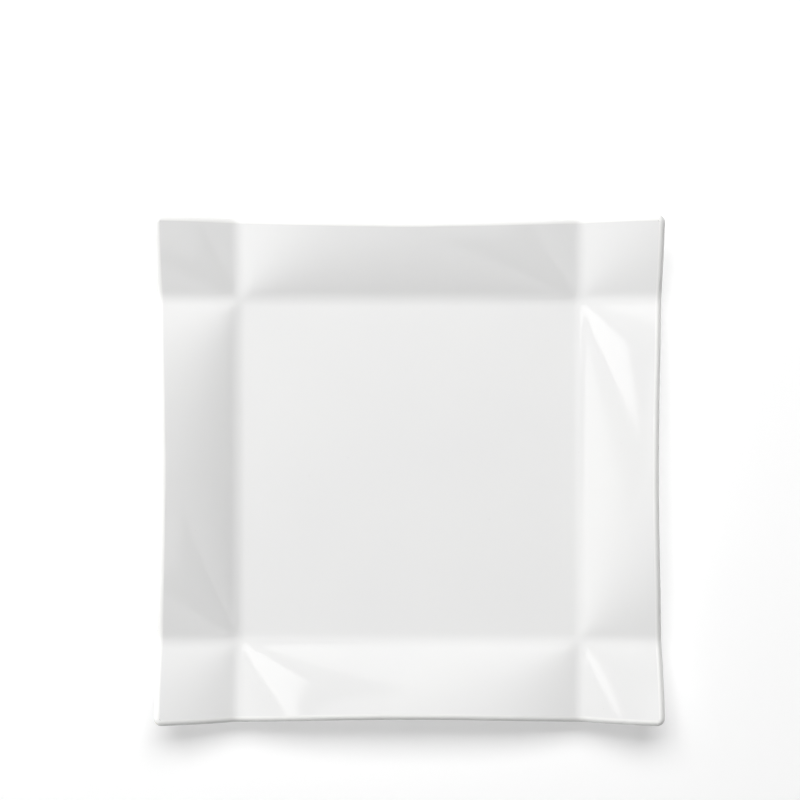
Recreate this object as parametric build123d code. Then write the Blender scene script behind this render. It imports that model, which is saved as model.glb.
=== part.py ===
from build123d import *
import os
from math import atan2, hypot, pi, radians, tan

# Outline seen from above: width over the tips, sides that bow in between them, and the creases of the rim
plate_width = 270.0
side_bow = 3.0
crease_spacing = 182.0

# Rim: how the creases climb outward, and how the side panels and the corner squares climb away from them
crease_pitch = 7.0
panel_rise = 16.0
panel_foot_pitch = 25.2
panel_end_pitch = 13.5
corner_pitch = 11.3
fold_reach = 4.0

# Wall and lip, which is rolled over on the face and eased on the underside, and the more rounded tips
wall = 4.2
lip_round = 2.6
lip_under_round = 0.8
lip_flat = 0.2
tip_easing = 1.0

# Foot ring under the well, a square with rounded corners
foot_set_in = 4.6
foot_corner_round = 24.0
foot_width = 4.4
foot_depth = 4.0
foot_draft = 14.0
foot_edge_round = 0.8
foot_flat = 0.8
foot_root_round = 2.0

# Glaze coat, wiped off the standing edge of the foot
glaze = 0.35
bare_edge = 1.2

# Lines over the face on which its height is worked out, closer together over the folds
well_lines = 8
fold_lines = 12
rim_lines = 8
fairing = 0.1

# Sizes that follow
half_width = plate_width / 2
half_crease = crease_spacing / 2
rim_width = half_width - half_crease
well_level = foot_depth + wall
foot_edge = min(foot_edge_round, (foot_width - foot_flat) / 2 - glaze)
foot_middle = crease_spacing - 2 * (fold_reach + foot_set_in) - foot_width


def ramp(distance):
    """Way out from a crease: nothing on the well side, softly turned over the crease."""
    if abs(distance) < fold_reach:
        return (distance + fold_reach) ** 2 / (4 * fold_reach)
    return max(distance, 0.0)


def valley(distance):
    """Way off a crease to either side, softly turned at the bottom."""
    if abs(distance) < fold_reach:
        return (distance ** 2 + fold_reach ** 2) / (2 * fold_reach)
    return abs(distance)


def crossed(distance):
    """Share of the way over a crease, from 0 on the well side to 1 on the rim side."""
    share = min(1.0, max(0.0, (distance / fold_reach + 1) / 2))
    return share ** 2 * (3 - 2 * share)


def hip(one, other):
    """Lower of two climbing slopes, with a soft hip where they meet."""
    return one * other / hypot(one, other)


def panel(outward, beside):
    """Rise of a side panel, out from the crease at its foot and beside the nearer of its end creases."""
    way = ramp(outward)
    share = way / rim_width
    start = rim_width * tan(radians(panel_foot_pitch))
    crest = share * (start - (start - panel_rise) * share)
    trough = way * tan(radians(crease_pitch))
    return trough + hip(crest - trough, valley(beside) * tan(radians(panel_end_pitch)))


def height(x, y):
    """Height of the face: the flat well, four side panels and four corner squares."""
    out_x = abs(x) - half_crease
    out_y = abs(y) - half_crease
    over_x = crossed(out_x)
    over_y = crossed(out_y)
    sides = (1 - over_y) * panel(out_x, out_y) + (1 - over_x) * panel(out_y, out_x)
    trough = (ramp(out_x) + ramp(out_y)) * tan(radians(crease_pitch))
    corner = trough + hip(valley(out_x), valley(out_y)) * tan(radians(corner_pitch))
    return well_level + sides + over_x * over_y * corner


def spot(u, v, inset):
    """Point of the face at shares u and v of the way out to the bowed outline, drawn in by the inset."""
    x = u * (half_width - inset - side_bow * (1 - v ** 2) ** 2)
    y = v * (half_width - inset - side_bow * (1 - u ** 2) ** 2)
    return x, y, height(x, y) - inset


# Lip, whose two rounds leave a flat between them on the wall where the rim meets it at its steepest
side_middle = half_width - side_bow
lip_lean = atan2(height(side_middle, 0.0) - height(side_middle - lip_round, 0.0), lip_round) / 2
lip_under_way = lip_under_round * tan(pi / 4 - lip_lean)
lip = min(lip_round, (wall - lip_flat - lip_under_way) / tan(pi / 4 + lip_lean))
tip_round = lip + tip_easing

# Shares of the way out from the middle of the well to the outline, mirrored to the other half
fold_start = (half_crease - 2 * fold_reach) / half_width
fold_end = (half_crease + 2 * fold_reach) / half_width
half_shares = [fold_start * n / well_lines for n in range(1, well_lines)]
half_shares += [fold_start + (fold_end - fold_start) * n / fold_lines for n in range(fold_lines)]
half_shares += [fold_end + (1 - fold_end) * n / rim_lines for n in range(rim_lines + 1)]
shares = [-share for share in reversed(half_shares)] + [0.0] + half_shares


def upright(edge):
    """Whether an edge stands upright, as the edges at the tips do."""
    return abs((edge % 0.5).Z) > 0.5


def dish(inset):
    """Well and rim: one wall under a fair skin whose border is the outline, with the tips rounded."""
    points = [[spot(u, v, inset) for v in shares] for u in shares]
    skin = Face.make_surface_from_array_of_points(points, tol=fairing, min_deg=3, max_deg=3)
    slab = extrude(skin, amount=wall - 2 * inset, dir=(0, 0, -1))
    return fillet(slab.edges().filter_by(upright), tip_round - inset)


def foot(inset, bottom):
    """Foot ring: one drafted section carried round a square with rounded corners."""
    top = foot_depth + wall / 2
    low = foot_width / 2 - inset + bottom * tan(radians(foot_draft))
    high = foot_width / 2 - inset + top * tan(radians(foot_draft))
    section = Polygon((-low, bottom), (low, bottom), (high, top), (-high, top), align=None)
    if bottom == 0:
        section = fillet(section.vertices().group_by(Axis.Y)[0], foot_edge)
    path = RectangleRounded(foot_middle, foot_middle, foot_corner_round - foot_width / 2).wire()
    along = path % 0
    return sweep(Plane(path @ 0, x_dir=Vector(0, 0, 1).cross(along), z_dir=along) * section, path)


def pressing(inset, bottom):
    """Dish and foot ring in one, with the edges to be rounded: lip above, lip below and foot roots."""
    plate = dish(inset)
    ring = foot(inset, bottom)
    whole = plate + ring
    under, face = plate.faces().sort_by(SortBy.AREA)[-2:].sort_by(Axis.Z)
    return whole, face.edges(), under.edges(), new_edges(plate, ring, combined=whole)


def lying_on(piece, guides):
    """Edges of the piece that run along the guide edges."""
    return ShapeList(e for e in piece.edges() if any(abs(e @ 0.5 - g @ 0.5) < fairing for g in guides))


def rounded(piece, lip_edges, under_edges, root_edges, inset):
    """Piece with its lip and the roots of its foot rounded, on the surface at the inset."""
    piece = fillet(lying_on(piece, lip_edges), lip - inset)
    piece = fillet(lying_on(piece, under_edges), lip_under_round - inset)
    return fillet(lying_on(piece, root_edges), foot_root_round + inset)


# Plate to the outside of its glaze, and the bare porcelain within, which alone reaches the standing edge
glazed, glazed_lip, glazed_under, glazed_roots = pressing(0.0, bare_edge)
bare, bare_lip, bare_under, bare_roots = pressing(glaze, 0.0)
porcelain_body = rounded(bare, bare_lip, bare_under, bare_roots, glaze)

# Glaze between the two, which the bare standing edge parts into the outer coat and the patch in the recess
coat = rounded(glazed - bare, glazed_lip, glazed_under, glazed_roots, 0.0)
coat = rounded(coat, bare_lip, bare_under, bare_roots, glaze)
recess_glaze, outer_glaze = coat.solids().sort_by(SortBy.VOLUME)

os.makedirs("parts", exist_ok=True)
export_step(porcelain_body, "parts/porcelain_body.step")
export_step(outer_glaze, "parts/outer_glaze.step")
export_step(recess_glaze, "parts/recess_glaze.step")
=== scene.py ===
import bpy
import bmesh
from math import atan, copysign, cos, hypot, pi, radians, sin, sqrt, tan
from mathutils import Matrix, Vector


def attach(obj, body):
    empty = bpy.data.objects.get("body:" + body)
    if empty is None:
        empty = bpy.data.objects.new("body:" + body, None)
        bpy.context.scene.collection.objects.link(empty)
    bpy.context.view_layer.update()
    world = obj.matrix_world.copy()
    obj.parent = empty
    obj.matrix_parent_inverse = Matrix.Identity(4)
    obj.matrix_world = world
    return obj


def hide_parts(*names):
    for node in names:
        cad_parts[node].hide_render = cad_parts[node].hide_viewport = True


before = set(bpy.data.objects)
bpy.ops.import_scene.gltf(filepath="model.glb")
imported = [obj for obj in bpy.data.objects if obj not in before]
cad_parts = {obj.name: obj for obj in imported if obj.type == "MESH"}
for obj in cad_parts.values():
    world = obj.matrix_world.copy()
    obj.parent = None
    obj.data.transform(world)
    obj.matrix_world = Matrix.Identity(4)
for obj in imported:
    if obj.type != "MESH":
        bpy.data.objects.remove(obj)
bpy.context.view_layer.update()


# Porcelain body: one pressed dish with its foot ring, fired dense and white. The glaze covers all of it but
# the standing edge of the foot, which is wiped before the glaze firing and then ground smooth on a wheel.
def linear(colour):
    """sRGB hex colour as the linear red, green, blue and alpha that a shader takes."""
    shares = [int(colour[n:n + 2], 16) / 255 for n in (1, 3, 5)]
    return [s / 12.92 if s <= 0.04045 else ((s + 0.055) / 1.055) ** 2.4 for s in shares] + [1.0]


def node(material, kind, inputs=(), **settings):
    """Adds a node to a material with its settings, and gives each input a value or a link from a socket."""
    made = material.node_tree.nodes.new("ShaderNode" + kind)
    for name, value in settings.items():
        setattr(made, name, value)
    for name, value in dict(inputs).items():
        if isinstance(value, bpy.types.NodeSocket):
            material.node_tree.links.new(value, made.inputs[name])
        else:
            made.inputs[name].default_value = value
    return made


# Unglazed hard porcelain: a dense, matt, faintly warm white, with the grit of the grinding wheel in its
# sheen, drawn coarser than it is so that it shows
bisque = bpy.data.materials.new("bisque_porcelain")
bisque.use_nodes = True
bisque.node_tree.nodes.clear()
grit_mm = 0.5
grit_depth_mm = 0.03
cloud_mm = 18
place = node(bisque, "TexCoord").outputs["Object"]
grit = node(bisque, "TexNoise", {"Vector": place, "Scale": 1000 / grit_mm, "Detail": 2.0})
cloud = node(bisque, "TexNoise", {"Vector": place, "Scale": 1000 / cloud_mm, "Detail": 3.0})
tone = node(bisque, "MixRGB", {"Fac": cloud.outputs["Fac"], "Color1": linear("#E2DED5"),
                               "Color2": linear("#EDEAE3")})
sheen = node(bisque, "MapRange", {"Value": grit.outputs["Fac"], "From Min": 0.3, "From Max": 0.7,
                                  "To Min": 0.55, "To Max": 0.75})
rub = node(bisque, "Bump", {"Height": grit.outputs["Fac"], "Distance": grit_depth_mm / 1000,
                            "Strength": 0.5})
matt = node(bisque, "BsdfPrincipled", {"Base Color": tone.outputs["Color"],
                                       "Roughness": sheen.outputs["Result"],
                                       "Normal": rub.outputs["Normal"], "IOR": 1.5})
node(bisque, "OutputMaterial", {"Surface": matt.outputs["BSDF"]})
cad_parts["porcelain_body"].data.materials.clear()
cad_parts["porcelain_body"].data.materials.append(bisque)

# Outer coat of glaze: the clear glassy skin over the face, the lip and the underside, and down the outside
# of the foot to the wiped edge. It is dipped on, and the kiln draws it smooth over every fold of the rim.
# Sizes are in millimetres, with the lip and the tips rounded a little more than in the solid it replaces.
plate_width = 270.0
side_bow = 3.0
crease_spacing = 182.0
crease_pitch = 7.0
panel_rise = 16.0
panel_foot_pitch = 25.2
panel_end_pitch = 13.5
corner_pitch = 11.3
fold_reach = 4.0
wall = 4.2
lip = 2.8
lip_under = 0.8
lip_flat = 0.1
tip_round = 4.2
foot_set_in = 4.6
foot_corner_round = 24.0
foot_width = 4.4
foot_depth = 4.0
foot_draft = 14.0
foot_root_round = 2.0
glaze = 0.35
bare_edge = 1.2

half_width = plate_width / 2
half_crease = crease_spacing / 2
rim_width = half_width - half_crease
well_level = foot_depth + wall


def ramp(distance):
    """Way out from a crease: nothing on the well side, softly turned over the crease."""
    if abs(distance) < fold_reach:
        return (distance + fold_reach) ** 2 / (4 * fold_reach)
    return max(distance, 0.0)


def valley(distance):
    """Way off a crease to either side, softly turned at the bottom."""
    if abs(distance) < fold_reach:
        return (distance ** 2 + fold_reach ** 2) / (2 * fold_reach)
    return abs(distance)


def crossed(distance):
    """Share of the way over a crease, from 0 on the well side to 1 on the rim side."""
    share = min(1.0, max(0.0, (distance / fold_reach + 1) / 2))
    return share ** 2 * (3 - 2 * share)


def hip(one, other):
    """Lower of two climbing slopes, with a soft hip where they meet."""
    return one * other / hypot(one, other)


def panel(outward, beside):
    """Rise of a side panel, out from the crease at its foot and beside the nearer of its end creases."""
    way = ramp(outward)
    share = way / rim_width
    start = rim_width * tan(radians(panel_foot_pitch))
    crest = share * (start - (start - panel_rise) * share)
    trough = way * tan(radians(crease_pitch))
    return trough + hip(crest - trough, valley(beside) * tan(radians(panel_end_pitch)))


def height(x, y):
    """Height of the face: the flat well, four side panels and four corner squares."""
    out_x = abs(x) - half_crease
    out_y = abs(y) - half_crease
    over_x = crossed(out_x)
    over_y = crossed(out_y)
    sides = (1 - over_y) * panel(out_x, out_y) + (1 - over_x) * panel(out_y, out_x)
    trough = (ramp(out_x) + ramp(out_y)) * tan(radians(crease_pitch))
    corner = trough + hip(valley(out_x), valley(out_y)) * tan(radians(corner_pitch))
    return well_level + sides + over_x * over_y * corner


def eased(x, y, half, radius):
    """Point of a square with its corners eased to a radius."""
    far_x = (abs(x) - half + radius) / radius
    far_y = (abs(y) - half + radius) / radius
    if far_x <= 0 or far_y <= 0:
        return x, y
    new_x = half - radius + radius * far_x * sqrt(1 - far_y ** 2 / 2)
    new_y = half - radius + radius * far_y * sqrt(1 - far_x ** 2 / 2)
    return (new_x if x > 0 else -new_x), (new_y if y > 0 else -new_y)


def drawn_in(share, inset):
    """Way out at a share of the half width, drawn in by the inset over the stretch of the tips."""
    way = share * half_width
    past = max(abs(way) - (half_width - tip_round), 0.0)
    return way - copysign(inset * past / tip_round, way)


def spot(u, v, inset):
    """Place on the plan at shares u and v of the way to the bowed outline, drawn in square to it."""
    x = drawn_in(u, inset) - u * side_bow * (1 - v ** 2) ** 2
    y = drawn_in(v, inset) - v * side_bow * (1 - u ** 2) ** 2
    return eased(x, y, half_width - inset, tip_round - inset)


def lip_spot(u, v, side, share):
    """Point of the rounded lip, on the face side (1) or the underside (-1), a share off the outline."""
    pitch = atan((height(*spot(u, v, 0)) - height(*spot(u, v, lip))) / lip)
    turn = side * share * (pi / 2 + side * pitch)
    upper = height(*spot(u, v, lip)) - lip / cos(pitch)
    lower = height(*spot(u, v, lip_under)) - wall + lip_under / cos(pitch)
    level = upper if side > 0 else min(lower, upper - lip_flat)
    radius = lip if side > 0 else lip_under
    return *spot(u, v, radius * (1 - cos(turn))), level + radius * sin(turn)


# Face of the plate as a grid whose lines lie closer together over the folds
well_lines = 16
fold_lines = 22
rim_lines = 18
fold_start = (half_crease - 2 * fold_reach) / half_width
fold_end = (half_crease + 2 * fold_reach) / half_width
half_shares = [fold_start * n / well_lines for n in range(1, well_lines)]
half_shares += [fold_start + (fold_end - fold_start) * n / fold_lines for n in range(fold_lines)]
half_shares += [fold_end + (1 - fold_end) * n / rim_lines for n in range(rim_lines + 1)]
shares = [-share for share in reversed(half_shares)] + [0.0] + half_shares
steps = len(shares) - 1
coat = bmesh.new()
bmesh.ops.create_grid(coat, x_segments=steps, y_segments=steps, size=1.0)
share_x = coat.verts.layers.float.new("share_x")
share_y = coat.verts.layers.float.new("share_y")
# Mask of the lip band, where the glaze colour is painted whiter: partly thin glaze, partly painted light
lip_thin_and_lit_layer = coat.verts.layers.float.new("lip_thin_and_lit")
for vert in coat.verts:
    vert[share_x] = shares[round((vert.co.x + 1) / 2 * steps)]
    vert[share_y] = shares[round((vert.co.y + 1) / 2 * steps)]
    if vert.is_boundary:
        vert.co = lip_spot(vert[share_x], vert[share_y], 1, 1.0)
        vert[lip_thin_and_lit_layer] = 1.0
    else:
        x, y = spot(vert[share_x], vert[share_y], lip)
        vert.co = (x, y, height(x, y))

# Lip, underside and outside of the foot, drawn out from the border of the face one ring after another
lip_steps = 8
root_steps = 6
flat_share = (half_crease - fold_reach) / half_width
foot_middle = half_crease - fold_reach - foot_set_in - foot_width / 2
draft = tan(radians(foot_draft))
root_out = foot_width / 2 + foot_depth * draft + foot_root_round * tan(radians(45 - foot_draft / 2))
rings = [("face_lip", n / lip_steps, 0.0) for n in range(lip_steps - 1, -1, -1)]
rings += [("under_lip", n / lip_steps, 0.0) for n in range(lip_steps + 1)]
rings += [("underside", share, 0.0) for share in reversed(half_shares[:-1]) if share > flat_share]
for n in range(root_steps + 1):
    turn = radians(90 + (90 - foot_draft) * n / root_steps)
    out = root_out + foot_root_round * cos(turn)
    rings.append(("foot", out, foot_depth - foot_root_round * (1 - sin(turn))))
rings.append(("foot", foot_width / 2 + bare_edge * draft, bare_edge))
edge = [e for e in coat.edges if e.is_boundary]
for kind, out, level in rings:
    drawn = bmesh.ops.extrude_edge_only(coat, edges=edge)["geom"]
    for vert in (item for item in drawn if isinstance(item, bmesh.types.BMVert)):
        u, v = vert[share_x], vert[share_y]
        vert[lip_thin_and_lit_layer] = 1.0 if "lip" in kind else 0.0
        if kind == "foot":
            half = foot_middle + out
            vert.co = *eased(u * half, v * half, half, foot_corner_round - foot_width / 2 + out), level
        elif kind == "underside":
            x, y = spot(u * out, v * out, lip)
            vert.co = (x, y, height(x, y) - wall)
        else:
            vert.co = lip_spot(u, v, 1 if kind == "face_lip" else -1, out)
    edge = [item for item in drawn if isinstance(item, bmesh.types.BMEdge) and item.is_boundary]


def line_up(items, points_of):
    """Puts points, edges or faces in the same order each time, by where their points lie."""
    placed = sorted(items, key=lambda item: sorted(tuple(point.co) for point in points_of(item)))
    rank = {item: n for n, item in enumerate(placed)}
    items.sort(key=rank.get)


sharp_angle = 50
line_up(coat.verts, lambda vert: [vert])
line_up(coat.edges, lambda side: side.verts)
line_up(coat.faces, lambda face: face.verts)
bmesh.ops.recalc_face_normals(coat, faces=coat.faces)
bmesh.ops.scale(coat, vec=(0.001, 0.001, 0.001), verts=coat.verts)
coat_mesh = bpy.data.meshes.new("outer_glaze_coat")
coat.to_mesh(coat_mesh)
coat.free()
coat_mesh.polygons.foreach_set("use_smooth", [True] * len(coat_mesh.polygons))
coat_mesh.set_sharp_from_angle(angle=radians(sharp_angle))
outer_coat = bpy.data.objects.new("outer_glaze_coat", coat_mesh)
bpy.context.scene.collection.objects.link(outer_coat)
thickness = outer_coat.modifiers.new("glaze_thickness", "SOLIDIFY")
thickness.thickness = glaze / 1000
thickness.offset = -1.0
thickness.use_even_offset = False

# Clear glaze over white porcelain: a hard glassy gloss with a faint ripple, a tone that drifts a little with
# the thickness of the coat, a lip painted whiter, partly for the glaze running thin over the body and partly
# as painted light that brightens the lip on its shaded sides, and a rare speck
white_glaze = bpy.data.materials.new("glazed_porcelain")
white_glaze.use_nodes = True
white_glaze.node_tree.nodes.clear()
drift_mm = 70
ripple_mm = 9
ripple_depth_mm = 0.04
speck_spacing_mm = 14
speck_core_mm = 0.168
speck_edge_mm = 0.28
speck_strength = 0.25
lip_thin_and_painted_light = 0.8
place = node(white_glaze, "TexCoord").outputs["Object"]
drift = node(white_glaze, "TexNoise", {"Vector": place, "Scale": 1000 / drift_mm, "Detail": 2.0})
ripple = node(white_glaze, "TexNoise", {"Vector": place, "Scale": 1000 / ripple_mm, "Detail": 1.0})
dots = node(white_glaze, "TexVoronoi", {"Vector": place, "Scale": 1000 / speck_spacing_mm})
tone = node(white_glaze, "MixRGB", {"Fac": drift.outputs["Fac"], "Color1": linear("#ECECEC"),
                                    "Color2": linear("#F0F0EF")})
# Lip painted whiter: partly for the thin glaze, partly painted light that brightens the lip on its shaded
# sides
lip_thin_and_lit = node(white_glaze, "Attribute", attribute_name="lip_thin_and_lit").outputs["Fac"]
lip_share = node(white_glaze, "Math", {0: lip_thin_and_lit, 1: lip_thin_and_painted_light}, operation="MULTIPLY")
lipped = node(white_glaze, "MixRGB", {"Fac": lip_share.outputs[0], "Color1": tone.outputs["Color"],
                                      "Color2": linear("#FAFAF8")})
dot = node(white_glaze, "MapRange", {"Value": dots.outputs["Distance"],
                                     "From Min": speck_core_mm / speck_spacing_mm,
                                     "From Max": speck_edge_mm / speck_spacing_mm,
                                     "To Min": speck_strength, "To Max": 0.0})
specked = node(white_glaze, "MixRGB", {"Fac": dot.outputs["Result"], "Color1": lipped.outputs["Color"],
                                       "Color2": linear("#B9B4AC")})
wave = node(white_glaze, "Bump", {"Height": ripple.outputs["Fac"], "Distance": ripple_depth_mm / 1000,
                                  "Strength": 0.5})
gloss = node(white_glaze, "MapRange", {"Value": drift.outputs["Fac"], "From Min": 0.3, "From Max": 0.7,
                                       "To Min": 0.06, "To Max": 0.1})
glassy = node(white_glaze, "BsdfPrincipled", {"Base Color": specked.outputs["Color"],
                                              "Roughness": gloss.outputs["Result"],
                                              "Normal": wave.outputs["Normal"], "IOR": 1.5})
node(white_glaze, "OutputMaterial", {"Surface": glassy.outputs["BSDF"]})
coat_mesh.materials.append(white_glaze)
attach(outer_coat, "root")
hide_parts("outer_glaze")

# Glaze in the recess: the same dip, left on the flat base inside the foot ring, where the wiped edge parts
# it from the outer coat
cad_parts["recess_glaze"].data.materials.clear()
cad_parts["recess_glaze"].data.materials.append(white_glaze)

# Studio floor: a wide sheet of white paper, just clear of the standing edge, that runs out into the white of
# the room and can be looked through from below. Sizes from here on are in metres.
paper_half = 6.0
paper_clearance = 0.00002
paper_glow = 0.2
run_out_start = 0.5
run_out_end = 2.5
pulp_mm = 3
sheet = bmesh.new()
bmesh.ops.create_grid(sheet, x_segments=1, y_segments=1, size=paper_half)
bmesh.ops.translate(sheet, vec=(0.0, 0.0, -paper_clearance), verts=sheet.verts)
sheet_mesh = bpy.data.meshes.new("paper_sheet")
sheet.to_mesh(sheet_mesh)
sheet.free()
paper_sheet = bpy.data.objects.new("paper_sheet", sheet_mesh)
bpy.context.scene.collection.objects.link(paper_sheet)
paper = bpy.data.materials.new("white_paper")
paper.use_nodes = True
paper.node_tree.nodes.clear()


def background_rays(material):
    """One for a ray that sees the background, from the camera, in a reflection or through glass."""
    path = node(material, "LightPath").outputs
    seen = node(material, "Math", {0: path["Is Camera Ray"], 1: path["Is Glossy Ray"]}, operation="ADD")
    every = node(material, "Math", {0: seen.outputs[0], 1: path["Is Transmission Ray"]}, operation="ADD",
                 use_clamp=True)
    return every.outputs[0]


place = node(paper, "TexCoord").outputs["Object"]
pulp = node(paper, "TexNoise", {"Vector": place, "Scale": 1000 / pulp_mm, "Detail": 3.0})
shade = node(paper, "MixRGB", {"Fac": pulp.outputs["Fac"], "Color1": linear("#EEEEEE"),
                               "Color2": linear("#F2F2F2")})
lit = node(paper, "BsdfDiffuse", {"Color": shade.outputs["Color"]})
away = node(paper, "VectorMath", {0: place}, operation="LENGTH")
run_out = node(paper, "MapRange", {"Value": away.outputs["Value"], "From Min": run_out_start,
                                   "From Max": run_out_end, "To Min": paper_glow, "To Max": 1.0})
strength = node(paper, "Math", {0: background_rays(paper), 1: run_out.outputs["Result"]},
                operation="MULTIPLY")
glow = node(paper, "Emission", {"Color": linear("#FFFFFF"), "Strength": strength.outputs[0]})
both = node(paper, "AddShader", {0: lit.outputs["BSDF"], 1: glow.outputs["Emission"]})
back = node(paper, "NewGeometry").outputs["Backfacing"]
looked_at = node(paper, "LightPath").outputs["Is Camera Ray"]
from_below = node(paper, "Math", {0: back, 1: looked_at}, operation="MULTIPLY")
clear = node(paper, "BsdfTransparent")
one_way = node(paper, "MixShader", {0: from_below.outputs[0], 1: both.outputs["Shader"],
                                    2: clear.outputs["BSDF"]})
node(paper, "OutputMaterial", {"Surface": one_way.outputs["Shader"]})
sheet_mesh.materials.append(paper)


# Studio lamps: a wide softbox to the north that throws the shadow, lower ones to the west and the south-east
# that only fill it, and a small one high to the north-west whose reflection runs down the folds
def facing_plate(bearing, lift, away):
    """Place at a bearing and a lift in degrees and a distance in metres, turned to the plate."""
    level = cos(radians(lift))
    way = Vector((cos(radians(bearing)) * level, sin(radians(bearing)) * level, sin(radians(lift)))) * away
    return Matrix.Translation(way) @ (-way).to_track_quat("-Z", "Y").to_matrix().to_4x4()


def softbox(name, bearing, lift, away, wide, tall, watts, shadowed, mirrored):
    """Lamp of a width and height in metres turned to the plate."""
    light = bpy.data.lights.new(name, "AREA")
    light.shape = "RECTANGLE"
    light.size = wide
    light.size_y = tall
    light.energy = watts
    light.use_shadow = shadowed
    lamp = bpy.data.objects.new(name, light)
    bpy.context.scene.collection.objects.link(lamp)
    lamp.matrix_world = facing_plate(bearing, lift, away)
    lamp.visible_glossy = mirrored


softbox("north_softbox", bearing=95, lift=53, away=2.6, wide=2.6, tall=1.4, watts=62.0,
        shadowed=True, mirrored=False)
softbox("west_softbox", bearing=173, lift=30, away=3.4, wide=2.0, tall=1.0, watts=68.0,
        shadowed=False, mirrored=False)
softbox("south_east_softbox", bearing=303, lift=8, away=3.4, wide=2.0, tall=1.0, watts=12.0,
        shadowed=False, mirrored=False)
softbox("strip_softbox", bearing=146, lift=67, away=1.4, wide=0.44, tall=0.26, watts=0.85,
        shadowed=True, mirrored=True)

# Black cards hung to the north-west and the south-east, which keep stray light off the gloss and show in it
velvet = bpy.data.materials.new("black_velvet")
velvet.use_nodes = True
velvet.node_tree.nodes.clear()
nap = node(velvet, "BsdfDiffuse", {"Color": linear("#080808"), "Roughness": 1.0})
node(velvet, "OutputMaterial", {"Surface": nap.outputs["BSDF"]})


def black_card(name, bearing, lift, away, wide, tall):
    """Card of a width and height in metres turned to the plate, seen in the gloss alone."""
    board = bmesh.new()
    bmesh.ops.create_grid(board, x_segments=1, y_segments=1, size=0.5)
    bmesh.ops.scale(board, vec=(wide, tall, 1.0), verts=board.verts)
    bmesh.ops.transform(board, matrix=facing_plate(bearing, lift, away), verts=board.verts)
    board_mesh = bpy.data.meshes.new(name)
    board.to_mesh(board_mesh)
    board.free()
    board_mesh.materials.append(velvet)
    card = bpy.data.objects.new(name, board_mesh)
    bpy.context.scene.collection.objects.link(card)
    card.visible_camera = False
    card.visible_diffuse = False
    card.visible_shadow = False


black_card("south_east_card", bearing=312, lift=65, away=1.4, wide=0.56, tall=0.32)
black_card("north_west_card", bearing=142, lift=64, away=1.6, wide=1.1, tall=0.6)

# White room round the set, seen by the camera, in the gloss and through glass alone, so that the lamps do
# the lighting
room = bpy.data.worlds.new("white_room")
bpy.context.scene.world = room
room.use_nodes = True
room.node_tree.nodes.clear()
air = node(room, "Background", {"Color": linear("#FFFFFF"), "Strength": background_rays(room)})
node(room, "OutputWorld", {"Surface": air.outputs["Background"]})

# Camera straight above the well, a little north and west of its middle
camera_west = 0.0049
camera_north = 0.0371
camera_above = 1.25
camera = bpy.data.objects.new("camera", bpy.data.cameras.new("camera"))
bpy.context.scene.collection.objects.link(camera)
camera.location = (-camera_west, camera_north, camera_above + well_level / 1000)
camera.data.lens = 105.5
camera.data.sensor_width = 36.0
bpy.context.scene.camera = camera
bpy.context.scene.view_settings.view_transform = "Standard"
